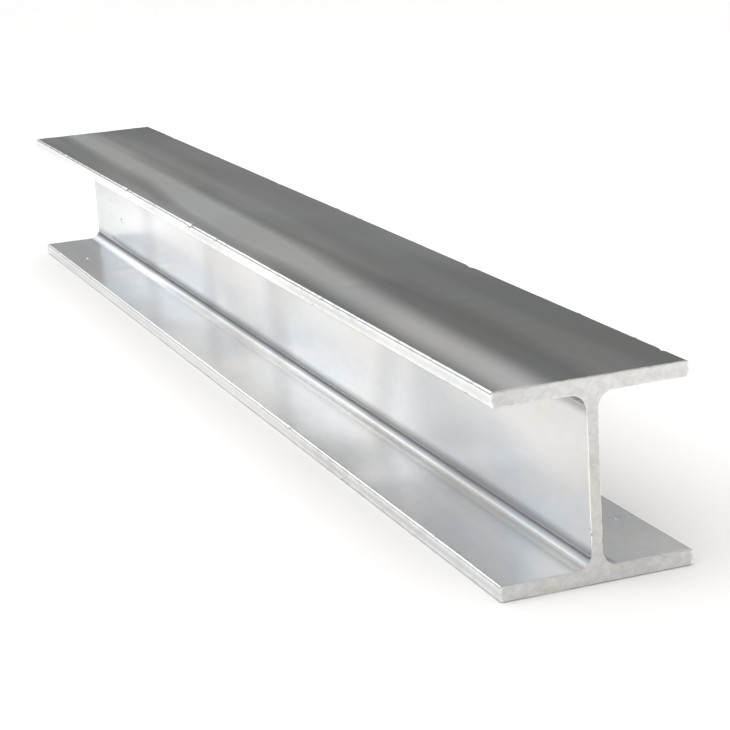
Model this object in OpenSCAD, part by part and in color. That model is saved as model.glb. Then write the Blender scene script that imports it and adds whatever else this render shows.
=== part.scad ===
// Steel H-beam: one sawn length of hot-rolled wide-flange section.
// Millimetres. The beam lies along Y on its bottom flange, with the web upright.
// The origin is the middle of the underside of the bottom flange.

/* [Section] */
// Depth of the section over both flanges
depth = 100; // [80:1:200]
// Width of each flange
flange_w = 100; // [70:1:200]
// Thickness of each flange
flange_t = 8; // [5:0.5:16]
// Thickness of the web
web_t = 6; // [4:0.5:12]
// Radius of the fillets between the web and the flanges
root_r = 8; // [4:0.5:16]
// Radius of the rolled corners along the edges of the flanges
toe_r = 1.5; // [0.5:0.1:2.4]

/* [Length] */
// Length between the two sawn ends
beam_l = 950; // [200:10:6000]

/* [Hidden] */
// Clear height between the flanges
clear_h = depth - 2 * flange_t;
// How far each flange stands out from the web
outstand = (flange_w - web_t) / 2;
// How far a cut runs past the steel it cuts
overrun = 1;
// Facets that a full circle shows in a preview
$fn = 48;

// The three-sided bit between a square corner at the origin and the circle of
// radius r that touches both its sides, with the corner's own sides overrun.
module corner_bit(r) {
    difference() {
        translate([-overrun, -overrun])
            square(r + overrun);
        translate([r, r])
            circle(r);
    }
}

// The open channel on the right of the web, with its two filleted roots.
module channel() {
    difference() {
        translate([web_t / 2, -clear_h / 2])
            square([outstand + overrun, clear_h]);
        for (level = [0, 1])
            mirror([0, level])
                translate([web_t / 2, -clear_h / 2])
                    corner_bit(root_r);
    }
}

// The cuts that round the two corners of the upper right flange edge.
module edge_corners() {
    translate([flange_w / 2, depth / 2])
        rotate(180)
            corner_bit(toe_r);
    translate([flange_w / 2, depth / 2 - flange_t])
        rotate(90)
            corner_bit(toe_r);
}

// The rolled section, centred on the origin.
module section() {
    difference() {
        square([flange_w, depth], center = true);
        for (side = [0, 1])
            mirror([side, 0]) {
                channel();
                edge_corners();
                mirror([0, 1])
                    edge_corners();
            }
    }
}

// The whole beam: the section run along Y, resting on z = 0.
module h_beam() {
    color("silver")
        translate([0, beam_l / 2, depth / 2])
            rotate([90, 0, 0])
                linear_extrude(height = beam_l)
                    section();
}

h_beam();
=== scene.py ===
# %% [markdown]
# # A hot-dip galvanised steel H-beam
# A beam like this is rolled from one red-hot billet, sawn to length, and then
# dipped whole in molten zinc. The rolling gives it a constant section with
# filleted roots and soft flange edges. The saw gives it flat, slightly ragged
# ends. The zinc gives it a bright, streaky, half-mirror skin with small drops.
# The frame below is the exact solid, and one detailed mesh will stand for it.

# %% Load the frame
import math
import random
from collections import namedtuple

import bmesh
import bpy
from mathutils import Matrix, Vector, noise
from mathutils.kdtree import KDTree


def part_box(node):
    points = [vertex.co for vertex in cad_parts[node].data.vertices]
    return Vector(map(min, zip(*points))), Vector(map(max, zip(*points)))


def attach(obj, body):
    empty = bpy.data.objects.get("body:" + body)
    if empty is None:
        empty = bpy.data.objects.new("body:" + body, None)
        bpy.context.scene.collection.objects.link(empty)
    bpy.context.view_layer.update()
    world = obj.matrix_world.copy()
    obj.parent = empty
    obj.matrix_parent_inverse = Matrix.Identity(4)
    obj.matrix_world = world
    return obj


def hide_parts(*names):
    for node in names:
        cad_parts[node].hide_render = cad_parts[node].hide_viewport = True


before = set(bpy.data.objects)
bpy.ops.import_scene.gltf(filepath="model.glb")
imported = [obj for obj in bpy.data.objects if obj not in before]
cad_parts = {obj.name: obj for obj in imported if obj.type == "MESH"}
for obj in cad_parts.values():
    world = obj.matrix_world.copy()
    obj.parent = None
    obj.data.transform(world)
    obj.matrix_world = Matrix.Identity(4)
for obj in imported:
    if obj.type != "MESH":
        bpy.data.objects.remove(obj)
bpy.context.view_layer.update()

MM = 0.001
low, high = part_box("h_beam")
width, length, depth = high - low
print("beam box in metres:", round(width, 4), round(length, 4), round(depth, 4))

# %% [markdown]
# ## Tools for nodes
# The floor, the room and every finish are small trees of nodes. Placing each
# node by hand would bury the idea under links, so a few short helpers add a
# node, link it and give back its output.

# %% Links and sums


def feed(tree, socket, source):
    """Links an input to another node's output, or sets it to a constant."""
    if isinstance(source, bpy.types.NodeSocket):
        tree.links.new(source, socket)
    else:
        socket.default_value = source


def calc(tree, operation, *terms):
    """A Math node on sockets or numbers."""
    node = tree.nodes.new("ShaderNodeMath")
    node.operation = operation
    for socket, term in zip(node.inputs, terms):
        feed(tree, socket, term)
    return node.outputs[0]


def spread(tree, value, low_in, high_in, low_out=0.0, high_out=1.0):
    """Eases a value from one range into another."""
    node = tree.nodes.new("ShaderNodeMapRange")
    node.interpolation_type = "SMOOTHSTEP"
    names = ("Value", "From Min", "From Max", "To Min", "To Max")
    for name, term in zip(names, (value, low_in, high_in, low_out, high_out)):
        feed(tree, node.inputs[name], term)
    return node.outputs["Result"]


# %% Parts and mixes


def split(tree, vector):
    """The X, Y and Z of a vector."""
    node = tree.nodes.new("ShaderNodeSeparateXYZ")
    feed(tree, node.inputs[0], vector)
    return node.outputs


def mix(tree, share, first, second):
    """Mixes two numbers."""
    node = tree.nodes.new("ShaderNodeMix")
    for name, source in (("Factor", share), ("A", first), ("B", second)):
        feed(tree, node.inputs[name], source)
    return node.outputs["Result"]


def mix_colour(tree, share, first, second, kind="MIX"):
    """Mixes two colours."""
    node = tree.nodes.new("ShaderNodeMix")
    node.data_type = "RGBA"
    node.blend_type = kind
    for name, source in (("Factor", share), ("A", first), ("B", second)):
        feed(tree, node.inputs[name], source)
    return node.outputs["Result"]


def tinted(tree, colour, tint):
    """Multiplies a colour by another colour or by a number."""
    return mix_colour(tree, 1.0, colour, tint, "MULTIPLY")


# %% [markdown]
# ## Camera
# The eye stands a little to the left of the near end and above it, so the top,
# the left side and one sawn end all show. The beam is long, so its middle isn't
# the middle of its picture. A few rounds of aiming centre its outline, and then
# the lens is chosen so that the outline nearly fills the frame.

# %% Camera
eye_from_near_end = Vector((-0.405, -0.817, 0.250))
near_end_top = Vector((0, low.y, high.z))
eye = near_end_top + eye_from_near_end
eye_roll = math.radians(-3.6)
frame_fill = 0.90
aiming_rounds = 3

camera_data = bpy.data.cameras.new("camera")
camera = bpy.data.objects.new("camera", camera_data)
bpy.context.scene.collection.objects.link(camera)
bpy.context.scene.camera = camera
camera_data.sensor_width = 36
camera_data.clip_start = 0.01
print("eye in metres:", tuple(round(part, 3) for part in eye))

# %% Aim the camera


def corners():
    """The eight corners of the beam's box."""
    return [Vector((x, y, z)) for x in (low.x, high.x) for y in (low.y, high.y) for z in (low.z, high.z)]


def turn_towards(aim):
    """The camera's turn when it looks at a point, tilted by its roll."""
    return (aim - eye).to_track_quat("-Z", "Y") @ Matrix.Rotation(eye_roll, 3, "Z").to_quaternion()


def spans(turn):
    """The beam's left, right, bottom and top as slopes from the view axis."""
    seen = [turn.inverted() @ (corner - eye) for corner in corners()]
    across = [point.x / -point.z for point in seen]
    up = [point.y / -point.z for point in seen]
    return min(across), max(across), min(up), max(up)


turn = turn_towards((low + high) / 2)
for _ in range(aiming_rounds):
    left, right, bottom, top = spans(turn)
    turn = turn_towards(eye + turn @ Vector(((left + right) / 2, (bottom + top) / 2, -1)))
left, right, bottom, top = spans(turn)
camera.rotation_mode = "QUATERNION"
camera.rotation_quaternion = turn
camera.location = eye
camera_data.lens = camera_data.sensor_width * frame_fill / max(right - left, top - bottom)
print("lens in mm:", round(camera_data.lens, 1))

# %% [markdown]
# ## Floor
# Bright metal has almost no colour of its own: it shows whatever stands round
# it. The pale floor is what makes the upright faces bright. Far from the beam
# it fades into the white backdrop, for the camera alone, so no horizon shows.
# It lies a fifth of a millimetre low, because the beam rests on its bumps.

# %% Floor
floor_half = 8.0
fade_start = 1.6
fade_end = 4.0
floor_drop = 0.2 * MM
floor_colour = (0.86, 0.845, 0.83, 1)
floor_roughness = 0.9

floor_mesh = bpy.data.meshes.new("floor")
floor = bpy.data.objects.new("floor", floor_mesh)
bpy.context.scene.collection.objects.link(floor)
bm = bmesh.new()
bmesh.ops.create_grid(bm, x_segments=1, y_segments=1, size=floor_half)
bmesh.ops.translate(bm, verts=bm.verts[:], vec=(0, 0, -floor_drop))
bm.to_mesh(floor_mesh)
bm.free()
print("floor width in metres:", 2 * floor_half)

# %% Floor paint
floor_paint = bpy.data.materials.new("floor_paint")
floor_paint.use_nodes = True
tree = floor_paint.node_tree
paint = tree.nodes["Principled BSDF"]
paint.inputs["Base Color"].default_value = floor_colour
paint.inputs["Roughness"].default_value = floor_roughness
floor_place = tree.nodes.new("ShaderNodeTexCoord")
reach = tree.nodes.new("ShaderNodeVectorMath")
reach.operation = "LENGTH"
feed(tree, reach.inputs[0], floor_place.outputs["Object"])
faded = spread(tree, reach.outputs["Value"], fade_start, fade_end)
path = tree.nodes.new("ShaderNodeLightPath")
clear = tree.nodes.new("ShaderNodeBsdfTransparent")
floor_mix = tree.nodes.new("ShaderNodeMixShader")
feed(tree, floor_mix.inputs["Fac"], calc(tree, "MULTIPLY", faded, path.outputs["Is Camera Ray"]))
feed(tree, floor_mix.inputs[1], paint.outputs["BSDF"])
feed(tree, floor_mix.inputs[2], clear.outputs["BSDF"])
feed(tree, tree.nodes["Material Output"].inputs["Surface"], floor_mix.outputs["Shader"])
floor_mesh.materials.append(floor_paint)
print("floor fades from", fade_start, "to", fade_end, "m")

# %% [markdown]
# ## Lamps
# One big soft lamp hangs overhead and a smaller one stands to the left. They
# light the floor, and the floor lights the beam. A lamp's own reflection would
# burn the top face white from some sides, so reflections leave the lamps out.

# %% Lamps


def soft_lamp(name, place, size, power, tint=(1, 1, 1)):
    """A square area lamp of one size in metres, aimed at the beam's middle."""
    data = bpy.data.lights.new(name, "AREA")
    data.shape = "SQUARE"
    data.size = size
    data.energy = power
    data.color = tint
    lamp = bpy.data.objects.new(name, data)
    lamp.location = place
    lamp.rotation_mode = "QUATERNION"
    lamp.rotation_quaternion = ((low + high) / 2 - Vector(place)).to_track_quat("-Z", "Y")
    lamp.visible_glossy = False
    bpy.context.scene.collection.objects.link(lamp)
    print(name, "at", place, "watts:", power)


soft_lamp("lamp_overhead", place=(-0.8, -0.2, 5.0), size=9.0, power=295)
soft_lamp("lamp_left", place=(-3.0, 0.2, 1.5), size=3.0, power=26, tint=(0.95, 0.98, 1.0))

# %% [markdown]
# ## Room
# The room is what the metal mirrors. Its right side is dark, which makes the
# flat top face dark. Its left side is pale above a dark skirting, which gives
# each root a dark line. A tall window on the left far wall draws a bright line
# beside it. The camera itself sees a plain white backdrop. A direction's X, Y
# and Z run from -1 to 1. Each pair of numbers below says where along one of
# them a tone starts to turn into the next and where it has turned.

# %% Walls of the room
dark_wall_low = (0.26, 0.265, 0.265, 1)
dark_wall_high = (0.56, 0.56, 0.56, 1)
pale_wall_low = (0.17, 0.175, 0.18, 1)
pale_wall_high = (1.06, 1.10, 1.16, 1)
pale_elsewhere = 0.35
dark_wall_rise = (0.05, 0.40)
pale_wall_rise = (0.05, 0.28)
right_to_left = (0.10, -0.16)
far_left_fade = (-0.85, -0.60)
front_fade = (-0.30, 0.20)

world = bpy.data.worlds.new("room")
bpy.context.scene.world = world
world.use_nodes = True
tree = world.node_tree
direction = tree.nodes.new("ShaderNodeTexCoord")
way = split(tree, direction.outputs["Generated"])

dark_rise = spread(tree, way["Z"], *dark_wall_rise)
dark_wall = mix_colour(tree, dark_rise, dark_wall_low, dark_wall_high)
pale_rise = spread(tree, way["Z"], *pale_wall_rise)
pale_wall = mix_colour(tree, pale_rise, pale_wall_low, pale_wall_high)
to_left = spread(tree, way["X"], *right_to_left)
not_far_left = spread(tree, way["X"], *far_left_fade, pale_elsewhere)
not_in_front = spread(tree, way["Y"], *front_fade, pale_elsewhere)
pale_share = calc(tree, "MULTIPLY", to_left, calc(tree, "MULTIPLY", not_far_left, not_in_front))
wall = mix_colour(tree, pale_share, dark_wall, pale_wall)
print("pale wall, low and high:", pale_wall_low[0], pale_wall_high[0])

# %% Window and ceiling
window_light = (1.9, 1.94, 1.98, 1)
ceiling_light = (0.68, 0.685, 0.69, 1)
window_left_edge = (-0.34, -0.24)
window_right_edge = (0.18, 0.08)
window_foot_edge = (0.26, 0.36)
window_near_edge = (0.2, 0.5)
ceiling_edge = (0.62, 0.82)

window_left = spread(tree, way["X"], *window_left_edge)
window_right = spread(tree, way["X"], *window_right_edge)
window_foot = spread(tree, way["Z"], *window_foot_edge)
window_near = spread(tree, way["Y"], *window_near_edge)
window_wide = calc(tree, "MULTIPLY", window_left, window_right)
window = calc(tree, "MULTIPLY", calc(tree, "MULTIPLY", window_foot, window_near), window_wide)
lit_wall = mix_colour(tree, window, wall, window_light)
ceiling_rise = spread(tree, way["Z"], *ceiling_edge)
room_light = tree.nodes["Background"]
feed(tree, room_light.inputs["Color"], mix_colour(tree, ceiling_rise, lit_wall, ceiling_light))
print("window and ceiling:", window_light[0], ceiling_light[0])

# %% White backdrop
backdrop = tree.nodes.new("ShaderNodeBackground")
backdrop.inputs["Color"].default_value = (1, 1, 1, 1)
path = tree.nodes.new("ShaderNodeLightPath")
seen_or_felt = tree.nodes.new("ShaderNodeMixShader")
feed(tree, seen_or_felt.inputs["Fac"], path.outputs["Is Camera Ray"])
feed(tree, seen_or_felt.inputs[1], room_light.outputs["Background"])
feed(tree, seen_or_felt.inputs[2], backdrop.outputs["Background"])
feed(tree, tree.nodes["World Output"].inputs["Surface"], seen_or_felt.outputs["Shader"])
bpy.context.scene.view_settings.view_transform = "Standard"
print("nodes in the room:", len(tree.nodes))

# %% [markdown]
# ## The section
# The section is one closed outline. It could be boxes joined with booleans,
# but then every rounding is a separate repair. A flat face with square corners
# and rounded by vertex bevels gives clean arcs at once.

# %% Sizes of the section
flange_t = 8 * MM
web_t = 6 * MM
root_r = 8 * MM
toe_r = 1.5 * MM
toe_segments = 4
root_segments = 10

half_w = width / 2
half_d = depth / 2
half_l = length / 2
half_web = web_t / 2
inner = half_d - flange_t
print("web height between the flanges in mm:", round(2 * inner / MM, 1))

# %% Outline of the section
bm = bmesh.new()
right_side = [
    (half_w, half_d),
    (half_w, inner),
    (half_web, inner),
    (half_web, -inner),
    (half_w, -inner),
    (half_w, -half_d),
]
left_side = [(-x, z) for x, z in reversed(right_side)]
outline = [bm.verts.new((x, -half_l, z)) for x, z in right_side + left_side]
bm.faces.new(outline)
print("square corners:", len(bm.verts))

# %% Round the corners


def round_corners(bm, wanted, radius, segments):
    """Bevels the vertices for which wanted(x) is true into arcs."""
    picked = [vert for vert in bm.verts if wanted(abs(vert.co.x))]
    bmesh.ops.bevel(
        bm, geom=picked, offset=radius, offset_type="OFFSET", segments=segments,
        profile=0.5, affect="VERTICES", material=-1,
    )


round_corners(bm, lambda x: x > half_w - toe_r, toe_r, toe_segments)
round_corners(bm, lambda x: x < half_web + toe_r, root_r, root_segments)
print("outline points:", len(bm.verts))

# %% [markdown]
# ## Cuts across the section
# Relief needs points to move. The section is cut by upright and level planes
# into cells a few millimetres wide. The cuts keep clear of the arcs, and there
# is one close beside each arc, so that the flat faces stay flat up to it.

# %% Cut the section
cell = 3.4 * MM
guard = 0.6 * MM
cut_tolerance = 1e-6


def even_steps(start, end, step):
    """Evenly spaced places from start to end, about a step apart."""
    count = max(1, round((end - start) / step))
    return [start + (end - start) * i / count for i in range(count + 1)]


def slice_mesh(bm, place, normal):
    """Cuts every face that crosses a plane."""
    everything = bm.verts[:] + bm.edges[:] + bm.faces[:]
    bmesh.ops.bisect_plane(bm, geom=everything, dist=cut_tolerance, plane_co=place, plane_no=normal)


root_end = half_web + root_r
root_top = inner - root_r
toe_start = half_w - toe_r
across_cuts = [*even_steps(root_end + guard, toe_start - guard, cell), toe_start]
upright_cuts = [*even_steps(0, root_top - guard, cell), root_top, half_d - flange_t / 2]
slice_mesh(bm, (0, 0, 0), (1, 0, 0))
for x in across_cuts:
    for sign in (-1, 1):
        slice_mesh(bm, (sign * x, 0, 0), (1, 0, 0))
for z in upright_cuts:
    for sign in (-1, 1):
        slice_mesh(bm, (0, 0, sign * z), (0, 0, 1))
print("section points:", len(bm.verts), "cells:", len(bm.faces))

# %% [markdown]
# ## The length
# The section is pushed out along the beam, as the rolls do it, and the long
# edges are cut into even steps. The steps are then drawn towards the ends,
# because the saw and the zinc leave their small shapes there.

# %% Push out along the beam
steps = 250
end_crowding = 0.62

pushed = bmesh.ops.extrude_face_region(bm, geom=bm.faces[:])
far_end = [item for item in pushed["geom"] if isinstance(item, bmesh.types.BMVert)]
bmesh.ops.translate(bm, verts=far_end, vec=(0, length, 0))
long_edges = [edge for edge in bm.edges if edge.calc_length() > half_l]
bmesh.ops.subdivide_edges(bm, edges=long_edges, cuts=steps, use_grid_fill=True)
for vert in bm.verts:
    part = vert.co.y / half_l
    crowded = math.sin(part * math.pi / 2)
    vert.co.y = half_l * ((1 - end_crowding) * part + end_crowding * crowded)
bmesh.ops.recalc_face_normals(bm, faces=bm.faces[:])
bm.normal_update()
print("faces after the push:", len(bm.faces))

# %% [markdown]
# ## Sawn ends
# The saw leaves an arris that the zinc then coats with a thin bead. The arris
# is bevelled, and a narrow band is inset on the end face, so that the bead has
# its own faces to catch the light.

# %% Bevel the arris and inset the end faces
arris = 0.45 * MM
arris_segments = 3
bead = 0.6 * MM
SKIN, SAWN = 0, 1


def on_end(face):
    """True for the faces that close the beam's two ends."""
    return abs(face.normal.y) > 0.9 and abs(abs(face.calc_center_median().y) - half_l) < 0.01 * MM


ends = [face for face in bm.faces if on_end(face)]
end_set = set(ends)
rims = [edge for edge in bm.edges if len(set(edge.link_faces) & end_set) == 1]
bmesh.ops.bevel(
    bm, geom=rims, offset=arris, offset_type="OFFSET", segments=arris_segments,
    profile=0.5, affect="EDGES", material=-1,
)
bm.normal_update()
ends = [face for face in bm.faces if on_end(face)]
band = bmesh.ops.inset_region(bm, faces=ends, thickness=bead, use_even_offset=True)["faces"]
for face in ends + band:
    face.material_index = SAWN
print("end faces:", len(ends), "bead faces:", len(band))

# %% [markdown]
# ## Marking the edges
# Edges wear and shine before faces do. Each point gets a number from 0 to 1
# that says how much it belongs to an edge: the arris of the sawn ends and the
# rolled corners of the flanges. The materials read it as an attribute.

# %% Mark the edges
edge_mark = bm.verts.layers.float.new("edge_mark")
nearly = 0.05 * MM


def on_arris(vert):
    """True on the rounded arris of a sawn end, and false on the end face."""
    close_to_end = half_l - abs(vert.co.y) < arris - nearly
    return close_to_end and not all(face.normal.y ** 2 > 0.9 for face in vert.link_faces)


def on_corner(vert):
    """True on the rolled corners of the flanges."""
    from_flange_middle = abs(abs(vert.co.z) - half_d + flange_t / 2)
    return abs(vert.co.x) > toe_start + nearly and from_flange_middle > nearly


for vert in bm.verts:
    vert[edge_mark] = 1.0 if on_arris(vert) or on_corner(vert) else 0.0
print("edge points:", sum(vert[edge_mark] > 0 for vert in bm.verts))

# %% [markdown]
# ## Relief of the whole skin
# No rolled face is truly flat, and a half-mirror skin shows every tenth of a
# millimetre. A wave from smooth noise, long in the rolling direction, bends
# the reflections a little. The flange edges were never squeezed by a roll, so
# they wander more, and the saw leaves the arris slightly ragged.

# %% Wave the skin, the flange edges and the ends
wave_height = 0.10 * MM
ripple_height = 0.35 * wave_height
edge_wander = 0.22 * MM
finer_share = 0.6
ragged = 0.24 * MM


def smooth_noise(place, along, across, offset=0.0):
    """Noise from -1 to 1 with so many waves to the metre along and across the beam."""
    return noise.noise(Vector((place.x * across + offset, place.y * along, place.z * across)))


def relief_move(place, normal):
    """How far a point of the skin stands off the exact solid."""
    lift = wave_height * smooth_noise(place, along=7, across=22)
    lift += ripple_height * smooth_noise(place, along=24, across=70, offset=5.0)
    move = normal * lift
    if abs(place.x) > toe_start - guard:
        wander = smooth_noise(place, along=18, across=3, offset=11.0)
        wander += finer_share * smooth_noise(place, along=70, across=40, offset=17.0)
        move.x += math.copysign(edge_wander * wander, place.x)
    if half_l - abs(place.y) < 2 * arris:
        move += normal * ragged * smooth_noise(place, along=0, across=330, offset=23.0)
    return move


bm.normal_update()
moves = [relief_move(vert.co, vert.normal) for vert in bm.verts]
for vert, move in zip(bm.verts, moves):
    vert.co += move
print("largest move in mm:", round(max(move.length for move in moves) / MM, 2))

# %% [markdown]
# ## Nodules, nicks and dents
# Zinc that drains off the beam freezes in small round nodules, mostly near the
# ends, and in low beads along the flange edges. Handling leaves nicks in those
# edges and a few shallow dents. Separate little balls would be quicker, but
# the skin has to stay one surface, so the faces under each mark are cut finer
# and then pushed. All the marks are chosen first, so the mesh is read once.
# Radii, heights and depths below are in millimetres, and a rise or a bite is a
# share of the mark's radius.

# %% What a mark is
Mark = namedtuple("Mark", "place radius move cuts")
dice = random.Random(20)
nodules_a_side, nicks, beads, dents, chips = 7, 34, 46, 9, 44
end_reach = (8, 120)
clear_of_edges = 6 * MM


def either():
    """One side or the other."""
    return dice.choice((-1, 1))


# %% Drops and beads of zinc
nodule_radii = (1.6, 3.0)
nodule_rise = (0.30, 0.45)
nodules_on_web = 0.6
bead_radii = (2.0, 4.5)
bead_heights = (0.2, 0.45)


def nodule(side):
    """A drop of zinc on the web or on the inner face of a flange, near an end."""
    y = either() * (half_l - dice.uniform(*end_reach) * MM)
    radius = dice.uniform(*nodule_radii) * MM
    if dice.random() < nodules_on_web:
        place = Vector((side * half_web, y, dice.uniform(-0.75, 0.75) * root_top))
        out = Vector((side, 0, 0))
    else:
        level = either()
        x = dice.uniform(root_end + clear_of_edges, half_w - clear_of_edges)
        place = Vector((side * x, y, level * inner))
        out = Vector((0, 0, -level))
    return Mark(place, radius, out * radius * dice.uniform(*nodule_rise), 3)


def flange_corner(reach):
    """A place on one of the eight long corners, and the ways out of and along the flange edge."""
    side, level, face = either(), either(), dice.choice((half_d, half_d, inner))
    place = Vector((side * half_w, dice.uniform(-reach, reach) * half_l, level * face))
    upright = level if face == half_d else -level
    return place, Vector((side, 0, 0)), Vector((0, 0, upright))


def bead_of_zinc():
    """A low bump on a flange corner."""
    place, outward, upright = flange_corner(reach=0.98)
    radius = dice.uniform(*bead_radii) * MM
    return Mark(place, radius, (outward + 0.5 * upright) * dice.uniform(*bead_heights) * MM, 1)


# %% Nicks, dents and chips
nick_radii = (1.8, 4.2)
nick_bite = (0.10, 0.22)
dent_radii = (7, 16)
dent_depths = (0.12, 0.3)
dent_places = (0.2, 0.85)
chip_radii = (0.9, 2.0)
chip_bite = (0.12, 0.28)


def nick():
    """A bite out of a flange corner."""
    place, outward, upright = flange_corner(reach=0.97)
    radius = dice.uniform(*nick_radii) * MM
    return Mark(place, radius, (outward + upright) * -radius * dice.uniform(*nick_bite), 1)


def dent():
    """A shallow dent in the outer face of a flange."""
    level = either()
    x = either() * dice.uniform(*dent_places) * half_w
    place = Vector((x, dice.uniform(-0.9, 0.9) * half_l, level * half_d))
    radius = dice.uniform(*dent_radii) * MM
    return Mark(place, radius, Vector((0, 0, -level)) * dice.uniform(*dent_depths) * MM, 0)


def chip():
    """A tiny bite out of the arris round a sawn end."""
    side, level = either(), either()
    lines = (
        (Vector((side * dice.uniform(0, toe_start), 0, level * half_d)), Vector((0, 0, -level))),
        (Vector((side * dice.uniform(root_end, toe_start), 0, level * inner)), Vector((0, 0, level))),
        (Vector((side * half_web, 0, dice.uniform(-1, 1) * root_top)), Vector((-side, 0, 0))),
    )
    place, into = dice.choice(lines)
    end = either()
    place.y = end * half_l
    radius = dice.uniform(*chip_radii) * MM
    return Mark(place, radius, (into - Vector((0, end, 0))) * radius * dice.uniform(*chip_bite), 3)


# %% Choose the marks
marks = [nodule(side) for side in (-1, 1) for _ in range(nodules_a_side)]
marks += [nick() for _ in range(nicks)]
marks += [bead_of_zinc() for _ in range(beads)]
marks += [dent() for _ in range(dents)]
marks += [chip() for _ in range(chips)]
print("marks:", len(marks))

# %% Cut the skin finer under the marks and push it
margin = 2.5 * MM
index = KDTree(len(marks))
for number, one in enumerate(marks):
    index.insert(one.place, number)
index.balance()
widest = max(one.radius for one in marks) + margin


def marks_within(place, extra):
    """The marks whose radius, and a little more, takes in a place."""
    found = index.find_range(place, widest)
    return [marks[number] for _, number, gap in found if gap < marks[number].radius + extra]


for cuts in (1, 3):
    fine = []
    for edge in bm.edges:
        first, second = (vert.co for vert in edge.verts)
        shared = [one for one in marks_within(first, margin) if one in marks_within(second, margin)]
        if any(one.cuts == cuts for one in shared):
            fine.append(edge)
    bmesh.ops.subdivide_edges(bm, edges=fine, cuts=cuts, use_grid_fill=True)
for vert in bm.verts:
    for one in marks_within(vert.co, 0):
        share = 1 - (vert.co - one.place).length_squared / one.radius ** 2
        vert.co += one.move * max(share, 0) ** 2
print("triangles:", sum(len(face.verts) - 2 for face in bm.faces))

# %% [markdown]
# ## Tools for patterns
# Every finish below is made of the same few steps: take the place on the beam,
# make noise from it, and spread that noise into colours and roughness. An
# effect that both finishes share is a node group with named inputs.

# %% Place, cloud and cells


def placed(tree, scale=(1, 1, 1), turn=(0, 0, 0), shift=(0, 0, 0)):
    """The place on the beam in metres, turned and stretched for a pattern."""
    source = tree.nodes.new("ShaderNodeTexCoord")
    mapping = tree.nodes.new("ShaderNodeMapping")
    mapping.inputs["Scale"].default_value = scale
    mapping.inputs["Rotation"].default_value = turn
    mapping.inputs["Location"].default_value = shift
    tree.links.new(source.outputs["Object"], mapping.inputs["Vector"])
    return mapping.outputs["Vector"]


def cloud(tree, place, detail=2.0, roughness=0.5, bend=0.0):
    """Soft noise from 0 to 1."""
    node = tree.nodes.new("ShaderNodeTexNoise")
    node.inputs["Scale"].default_value = 1.0
    node.inputs["Detail"].default_value = detail
    node.inputs["Roughness"].default_value = roughness
    node.inputs["Distortion"].default_value = bend
    tree.links.new(place, node.inputs["Vector"])
    return node.outputs["Fac"]


def cells(tree, place, output):
    """A pattern of cells: the distance to each centre, or a colour for each."""
    node = tree.nodes.new("ShaderNodeTexVoronoi")
    node.inputs["Scale"].default_value = 1.0
    tree.links.new(place, node.inputs["Vector"])
    return node.outputs[output]


# %% Relief and metal


def bumped(tree, shader, height, strength, distance):
    """Bends a shader's normals as if the surface rose and fell."""
    node = tree.nodes.new("ShaderNodeBump")
    node.inputs["Strength"].default_value = strength
    node.inputs["Distance"].default_value = distance
    feed(tree, node.inputs["Height"], height)
    feed(tree, shader.inputs["Normal"], node.outputs["Normal"])


def new_metal(name, metallic):
    """A new material, its tree and its shader."""
    material = bpy.data.materials.new(name)
    material.use_nodes = True
    shader = material.node_tree.nodes["Principled BSDF"]
    shader.inputs["Metallic"].default_value = metallic
    return material, material.node_tree, shader


# %% Groups


def new_group(name, inputs, outputs):
    """A shader node group with named inputs and outputs, and its two ends."""
    tree = bpy.data.node_groups.new(name, "ShaderNodeTree")
    for title, kind, value in inputs:
        socket = tree.interface.new_socket(title, in_out="INPUT", socket_type="NodeSocket" + kind)
        socket.default_value = value
    for title, kind in outputs:
        tree.interface.new_socket(title, in_out="OUTPUT", socket_type="NodeSocket" + kind)
    start = tree.nodes.new("NodeGroupInput")
    finish = tree.nodes.new("NodeGroupOutput")
    return tree, start.outputs, finish.inputs


def use_group(tree, group, **sources):
    """Places a group in a tree and feeds its inputs, with _ for a space."""
    node = tree.nodes.new("ShaderNodeGroup")
    node.node_tree = group
    for name, source in sources.items():
        feed(tree, node.inputs[name.replace("_", " ")], source)
    return node.outputs


# %% [markdown]
# ## Group: zinc bloom
# Zinc freezes in broad soft patches. Some stay bright, and others turn a
# duller, rougher grey where the iron reached the surface. On the web faint
# upright dark bars cross them, a painted reflection of window frames, and
# the end that left the bath last is duller. Noise in the place on the beam
# gives the patches, small cells give the crystals called spangle, and a slow
# noise between a cool and a warm cast keeps the grey from being flat.

# %% Start the zinc bloom group
bloom, given, out = new_group(
    "zinc_bloom",
    [
        ("Bright", "Color", (0.9, 0.9, 0.9, 1)),
        ("Dull", "Color", (0.7, 0.7, 0.7, 1)),
        ("Bright Roughness", "Float", 0.2),
        ("Dull Roughness", "Float", 0.4),
        ("Patch Edge", "Float", 0.5),
        ("Cool Cast", "Color", (0.975, 0.99, 1.0, 1)),
        ("Warm Cast", "Color", (1.0, 0.975, 0.945, 1)),
    ],
    [("Color", "Color"), ("Roughness", "Float"), ("Height", "Float")],
)
print("inputs of the zinc bloom:", len(given) - 1)

# %% Patches, bars and the dull end
patch_softness = 0.10
patch_waves = (6, 5, 6)
bar_waves = (1.5, 3.0, 1.5)
bar_edge = (0.003, 0.045)
bar_strength = 0.6
web_margin = 1 * MM
dull_reach = 220 * MM
dull_end_share = 0.15

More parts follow.
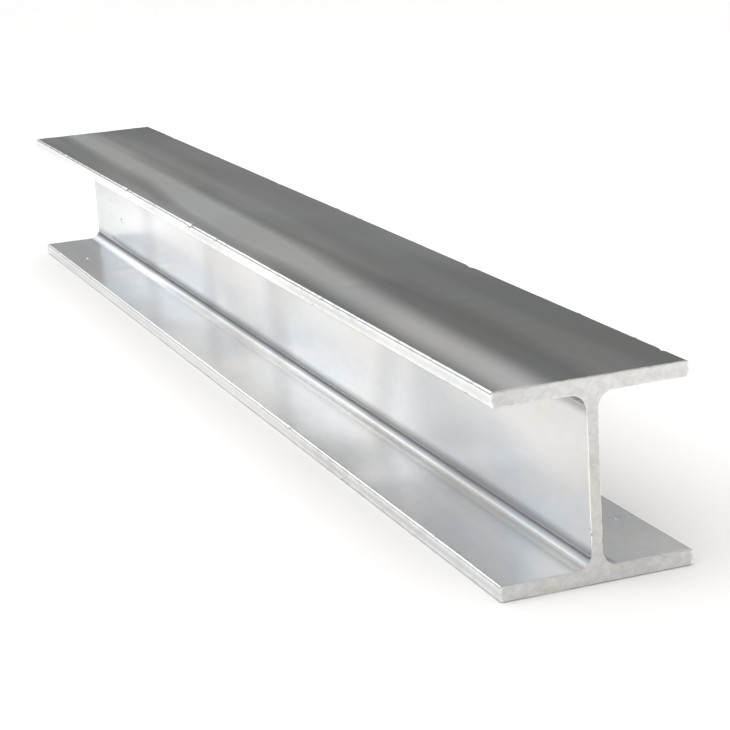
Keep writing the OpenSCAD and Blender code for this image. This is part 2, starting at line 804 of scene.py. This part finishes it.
spot = split(bloom, placed(bloom))
patch_noise = cloud(bloom, placed(bloom, patch_waves, turn=(0.2, 0, 0)), detail=1.0, bend=0.4)
patch_low = calc(bloom, "SUBTRACT", given["Patch Edge"], patch_softness)
patch_high = calc(bloom, "ADD", given["Patch Edge"], patch_softness)
broad_patch = spread(bloom, patch_noise, patch_low, patch_high)
# Painted reflection: faint dark upright bars on the web stand for reflected window frames.
bar_noise = cloud(bloom, placed(bloom, bar_waves, shift=(0, 2.6, 0)), detail=0.0)
bar_gap = calc(bloom, "ABSOLUTE", calc(bloom, "SUBTRACT", bar_noise, 0.5))
from_web = calc(bloom, "ABSOLUTE", spot["X"])
bar_depth = spread(bloom, from_web, half_web + web_margin, root_end, bar_strength, 0.0)
painted_reflection_bars = calc(bloom, "MULTIPLY", spread(bloom, bar_gap, *bar_edge, 1.0, 0.0), bar_depth)
last_out = spread(bloom, spot["Y"], half_l - dull_reach, half_l, 1.0, dull_end_share)
clear_of_bars = calc(bloom, "SUBTRACT", 1.0, painted_reflection_bars)
patch = calc(bloom, "MULTIPLY", calc(bloom, "MULTIPLY", broad_patch, clear_of_bars), last_out)
print("nodes for the patches:", len(bloom.nodes))

# %% Spangle, grain and cast
spangle_cells = (150, 120, 150)
spangle_contrast = 0.03
spangle_least = 0.975
grain_waves = (520, 420, 520)
grain_contrast = 0.06
grain_least = 0.965
cast_waves = (13, 8, 13)
cast_edge = (0.36, 0.66)

crystal = bloom.nodes.new("ShaderNodeSeparateColor")
feed(bloom, crystal.inputs["Color"], cells(bloom, placed(bloom, spangle_cells), "Color"))
crystal_tone = calc(bloom, "MULTIPLY_ADD", crystal.outputs["Red"], spangle_contrast, spangle_least)
grain = cloud(bloom, placed(bloom, grain_waves), detail=3.0, roughness=0.6)
grain_tone = calc(bloom, "MULTIPLY_ADD", grain, grain_contrast, grain_least)
cast_noise = cloud(bloom, placed(bloom, cast_waves, shift=(2, 0, 5)), detail=2.0, bend=0.6)
warmth = spread(bloom, cast_noise, *cast_edge)
cast = mix_colour(bloom, warmth, given["Cool Cast"], given["Warm Cast"])
patch_colour = tinted(bloom, mix_colour(bloom, patch, given["Dull"], given["Bright"]), cast)
feed(bloom, out["Color"], tinted(bloom, patch_colour, calc(bloom, "MULTIPLY", crystal_tone, grain_tone)))
print("nodes with the colour:", len(bloom.nodes))

# %% Roughness and height of the bloom
swell_waves = (130, 90, 130)
rough_contrast = 0.03
grain_height = 0.35

patch_rough = mix(bloom, patch, given["Dull Roughness"], given["Bright Roughness"])
rough_grain = calc(bloom, "MULTIPLY_ADD", grain, rough_contrast, -rough_contrast / 2)
feed(bloom, out["Roughness"], calc(bloom, "ADD", patch_rough, rough_grain))
swell = cloud(bloom, placed(bloom, swell_waves, shift=(1, 7, 3)), detail=1.0)
feed(bloom, out["Height"], calc(bloom, "MULTIPLY_ADD", grain, grain_height, swell))
print("nodes in the zinc bloom:", len(bloom.nodes))

# %% [markdown]
# ## Group: rolled lines and painted shade
# Rolls draw the skin out along the beam, and the zinc drains the same way, so
# every face carries fine lines that run its whole length. Soft bands run the
# same way, and outside them the colour is darkened towards a tint: painted
# shade, deeper on the right half. One bright lane wanders left of the middle,
# a painted reflection. Noise stretched some fourteen times along the beam
# gives the bands, and sixty times the lines.

# %% Start the rolled lines and painted shade group
streaks, given, out = new_group(
    "rolled_lines_and_painted_shade",
    [
        ("Color", "Color", (0.8, 0.8, 0.8, 1)),
        ("Band Tint", "Color", (0.6, 0.6, 0.6, 1)),
        ("Band Depth", "Float", 0.3),
        ("Line Depth", "Float", 0.1),
    ],
    [("Color", "Color"), ("Height", "Float")],
)
print("inputs of the rolling streaks:", len(given) - 1)

# %% The bright lane
lane_middle = -24 * MM
lane_wander = 16 * MM
lane_lean = 0.025
lane_half = 12 * MM
lane_edge = (0.1 * lane_half, 1.7 * lane_half)

spot = split(streaks, placed(streaks))
wander = cloud(streaks, placed(streaks, (3, 4, 3)), detail=1.0)
lane_start = calc(streaks, "MULTIPLY_ADD", spot["Y"], lane_lean, lane_middle - lane_wander / 2)
lane_line = calc(streaks, "MULTIPLY_ADD", wander, lane_wander, lane_start)
lane_gap = calc(streaks, "ABSOLUTE", calc(streaks, "SUBTRACT", spot["X"], lane_line))
# Painted reflection: a bright lane along the beam, left of the middle.
lane = spread(streaks, lane_gap, *lane_edge, 1.0, 0.0)
print("lane width in mm:", round(2 * lane_half / MM))

# %% Bands and lines
band_waves = (27, 1.9, 27)
band_edge = (0.38, 0.72)
left_to_right = (-10 * MM, 25 * MM)
left_and_right_share = (0.6, 0.25)
line_waves = (420, 7, 420)

band_noise = cloud(streaks, placed(streaks, band_waves, shift=(3.4, 0, 0)), detail=1.0, bend=0.4)
# Painted shade: outside the bands and the lane the colour darkens towards the band tint, most on the
# right half.
bands_fade_right = spread(streaks, spot["X"], *left_to_right, *left_and_right_share)
bands = calc(streaks, "MULTIPLY", spread(streaks, band_noise, *band_edge), bands_fade_right)
light_share = calc(streaks, "ADD", bands, lane)
dark_share = calc(streaks, "MAXIMUM", calc(streaks, "SUBTRACT", 1.0, light_share), 0.0)
band_dark = calc(streaks, "MULTIPLY", dark_share, given["Band Depth"])
banded = tinted(streaks, given["Color"], given["Band Tint"])
band_colour = mix_colour(streaks, band_dark, given["Color"], banded)
line_noise = cloud(streaks, placed(streaks, line_waves), detail=3.0, roughness=0.6)
kept = calc(streaks, "SUBTRACT", 1.0, calc(streaks, "MULTIPLY", line_noise, given["Line Depth"]))
feed(streaks, out["Color"], tinted(streaks, band_colour, kept))
feed(streaks, out["Height"], line_noise)
print("nodes in the rolling streaks:", len(streaks.nodes))

# %% [markdown]
# ## Group: specks
# Here and there ash or dross froze into the zinc as a dark speck with a small
# pit. Cells with a tiny dark middle give the specks, and a cloud keeps them to
# a few areas.

# %% Build the specks group
speck_cells = (60, 45, 60)
area_waves = (17, 13, 17)
fullest_area = 0.8
largest_speck = 0.14
speck_softness = 0.04

specks, given, out = new_group(
    "ash_specks",
    [
        ("Color", "Color", (0.8, 0.8, 0.8, 1)),
        ("Speck", "Color", (0.2, 0.2, 0.2, 1)),
        ("Spread", "Float", 0.55),
    ],
    [("Color", "Color"), ("Pit", "Float")],
)
speck_middle = cells(specks, placed(specks, speck_cells), "Distance")
speck_area = cloud(specks, placed(specks, area_waves, shift=(8, 2, 4)), detail=2.0)
speck_size = spread(specks, speck_area, given["Spread"], fullest_area, 0.0, largest_speck)
pit = spread(specks, calc(specks, "SUBTRACT", speck_size, speck_middle), 0.0, speck_softness)
feed(specks, out["Color"], mix_colour(specks, pit, given["Color"], given["Speck"]))
feed(specks, out["Pit"], pit)
print("nodes in the specks:", len(specks.nodes))

# %% [markdown]
# ## Group: edge shine
# Rubbing against other beams keeps the edges bright and smooth. The group
# reads the edge mark, breaks it up with a little noise, and mixes in the
# brighter finish.

# %% Build the edge shine group
rub_waves = (160, 90, 160)
rub_edge = (0.3, 0.6)
least_rub = 0.35

shine, given, out = new_group(
    "edge_shine",
    [
        ("Color", "Color", (0.8, 0.8, 0.8, 1)),
        ("Roughness", "Float", 0.4),
        ("Shiny", "Color", (1, 1, 1, 1)),
        ("Shiny Roughness", "Float", 0.2),
        ("Amount", "Float", 0.8),
    ],
    [("Color", "Color"), ("Roughness", "Float")],
)
mark = shine.nodes.new("ShaderNodeAttribute")
mark.attribute_name = "edge_mark"
rubbed = cloud(shine, placed(shine, rub_waves), detail=3.0)
worn_mark = calc(shine, "MULTIPLY", mark.outputs["Fac"], spread(shine, rubbed, *rub_edge, least_rub))
share = calc(shine, "MULTIPLY", worn_mark, given["Amount"])
feed(shine, out["Color"], mix_colour(shine, share, given["Color"], given["Shiny"]))
feed(shine, out["Roughness"], mix(shine, share, given["Roughness"], given["Shiny Roughness"]))
print("nodes in the edge shine:", len(shine.nodes))

# %% [markdown]
# ## The zinc skin
# The skin is metal through and through, so its colour is how much of the
# room it gives back, with painted shade and a painted highlight laid over it.
# The outer faces of the flanges lie open to dust and rain, and take a light
# dust tint. There the colour is also darkened in bands along the beam: painted
# shade, with a bright lane left as a painted reflection. The other faces get
# the same bands only faintly. A grey line beside the bright curve of each
# fillet is painted shade along the roots, and the upper web is darkened a
# little as painted shade under the top flange. The roughness stays low all
# over, so that even the dull patches still mirror the room.

# %% Find the outer faces, the roots and the upper web
level_edge = (0.35, 0.95)
outer_edge = (inner + 0.3 * flange_t, half_d - 0.2 * flange_t)
root_shade_start = (1.2 * MM, 3.4 * MM)
root_shade_end = (7.0 * MM, 12.0 * MM)
upper_web_edge = (half_d - 8 * MM, half_d + root_top)

skin, tree, metal = new_metal("zinc_skin", 1.0)
facing = tree.nodes.new("ShaderNodeNewGeometry")
level_part = calc(tree, "ABSOLUTE", split(tree, facing.outputs["Normal"])["Z"])
level_faces = spread(tree, level_part, *level_edge)
spot = split(tree, placed(tree))
from_middle = calc(tree, "ABSOLUTE", calc(tree, "SUBTRACT", spot["Z"], half_d))
outer = spread(tree, from_middle, *outer_edge)
# Outer level faces: a dust tint, and the painted shade bands below.
dust_and_painted_shade_faces = calc(tree, "MULTIPLY", level_faces, outer)
# Painted shade: a grey line along each root, beside the bright curve of the fillet.
from_flange = calc(tree, "SUBTRACT", inner, from_middle)
root_shade_low = spread(tree, from_flange, *root_shade_start)
root_shade_high = spread(tree, from_flange, *root_shade_end, 1.0, 0.0)
painted_root_shade = calc(tree, "MULTIPLY", root_shade_low, root_shade_high)
from_web = calc(tree, "ABSOLUTE", spot["X"])
on_web = spread(tree, from_web, half_web + web_margin, root_end, 1.0, 0.0)
# Painted shade: the upper web is darker, under the top flange.
high_web = spread(tree, spot["Z"], *upper_web_edge)
painted_upper_web_shade = calc(tree, "MULTIPLY", on_web, high_web)
print("nodes that find places:", len(tree.nodes))

# %% Layer the zinc skin
bright_zinc = (0.98, 0.98, 0.975, 1)
dull_zinc = (0.74, 0.75, 0.76, 1)
# Painted shade tint for the dark bands on the outer flange faces.
painted_shade_tint = (0.185, 0.197, 0.188, 1)
dust_tint = (0.95, 0.95, 0.94, 1)
# Painted shade tint for the line along each root.
root_shade_tint = (0.60, 0.60, 0.60, 1)
# Painted shade tint for the upper web.
upper_web_shade_tint = (0.80, 0.795, 0.785, 1)
no_tint = (1, 1, 1, 1)
ash_colour = (0.22, 0.21, 0.20, 1)
rubbed_zinc = (0.96, 0.96, 0.95, 1)
least_band = 0.12
line_height = 1.5
pit_depth = 3.0

toned = use_group(
    tree, bloom, Bright=bright_zinc, Dull=dull_zinc,
    Bright_Roughness=0.19, Dull_Roughness=0.255, Patch_Edge=0.42,
)
# Painted shade in bands, deep on the outer level faces and faint elsewhere.
band_depth = calc(tree, "MULTIPLY_ADD", dust_and_painted_shade_faces, 1 - least_band, least_band)
streaked = use_group(
    tree, streaks, Color=toned["Color"], Band_Tint=painted_shade_tint, Band_Depth=band_depth, Line_Depth=0.06,
)
colour = tinted(tree, streaked["Color"], mix_colour(tree, dust_and_painted_shade_faces, no_tint, dust_tint))
# Painted shade along the roots and on the upper web.
colour = tinted(tree, colour, mix_colour(tree, painted_root_shade, no_tint, root_shade_tint))
colour = tinted(tree, colour, mix_colour(tree, painted_upper_web_shade, no_tint, upper_web_shade_tint))
speckled = use_group(tree, specks, Color=colour, Speck=ash_colour, Spread=0.60)
edged = use_group(
    tree, shine, Color=speckled["Color"], Roughness=toned["Roughness"],
    Shiny=rubbed_zinc, Shiny_Roughness=0.20, Amount=0.8,
)
feed(tree, metal.inputs["Base Color"], edged["Color"])
feed(tree, metal.inputs["Roughness"], edged["Roughness"])
heights = calc(tree, "MULTIPLY_ADD", streaked["Height"], line_height, toned["Height"])
pitted = calc(tree, "MULTIPLY_ADD", speckled["Pit"], -pit_depth, heights)
bumped(tree, metal, pitted, strength=0.20, distance=0.05 * MM)
print("nodes in the zinc skin:", len(tree.nodes))

# %% [markdown]
# ## The sawn ends
# The zinc on a sawn face follows the saw's fine marks, so it is rougher, paler
# and more mottled than the rolled skin, with a warm tinge. The same groups are
# used again with other values, and a fine noise adds the mottle.

# %% Make the sawn end finish
bright_cut = (0.84, 0.83, 0.815, 1)
dull_cut = (0.75, 0.745, 0.73, 1)
cut_ash = (0.30, 0.29, 0.27, 1)
mottle_waves = (330, 330, 330)
mottle_edge = (0.32, 0.66)
mottle_tones = (0.90, 1.04)
mottle_height = 2.5
saw_waves = (900, 60, 45)
saw_height = 1.2
cut_pit_depth = 1.5

sawn, tree, metal = new_metal("sawn_end", 0.85)
toned = use_group(
    tree, bloom, Bright=bright_cut, Dull=dull_cut,
    Bright_Roughness=0.42, Dull_Roughness=0.55, Patch_Edge=0.5,
)
mottle_noise = cloud(tree, placed(tree, mottle_waves), detail=4.0, roughness=0.65, bend=0.4)
mottled = tinted(tree, toned["Color"], spread(tree, mottle_noise, *mottle_edge, *mottle_tones))
speckled = use_group(tree, specks, Color=mottled, Speck=cut_ash, Spread=0.42)
edged = use_group(
    tree, shine, Color=speckled["Color"], Roughness=toned["Roughness"],
    Shiny=rubbed_zinc, Shiny_Roughness=0.3, Amount=0.9,
)
feed(tree, metal.inputs["Base Color"], edged["Color"])
feed(tree, metal.inputs["Roughness"], edged["Roughness"])
saw_marks = cloud(tree, placed(tree, saw_waves, turn=(0, 0.15, 0)), detail=2.0)
mottle_bumps = calc(tree, "MULTIPLY", mottle_noise, mottle_height)
heights = calc(tree, "MULTIPLY_ADD", saw_marks, saw_height, mottle_bumps)
pitted = calc(tree, "MULTIPLY_ADD", speckled["Pit"], -cut_pit_depth, heights)
bumped(tree, metal, pitted, strength=0.4, distance=0.08 * MM)
print("nodes in the sawn end:", len(tree.nodes))

# %% [markdown]
# ## The finished beam
# The mesh was built round the middle of the section, and is now lifted to
# stand on the floor. The object itself stays at the origin, unturned, so the
# patterns keep their places. Smooth shading joins the facets of the arcs.

# %% Make the beam object
beam_mesh = bpy.data.meshes.new("galvanised_h_beam")
bmesh.ops.translate(bm, verts=bm.verts[:], vec=(0, 0, half_d))
for face in bm.faces:
    face.smooth = True
bm.to_mesh(beam_mesh)
bm.free()
beam = bpy.data.objects.new("galvanised_h_beam", beam_mesh)
bpy.context.scene.collection.objects.link(beam)
beam_mesh.materials.append(skin)
beam_mesh.materials.append(sawn)
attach(beam, "root")
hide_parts("h_beam")
print("beam points:", len(beam_mesh.vertices), "faces:", len(beam_mesh.polygons))
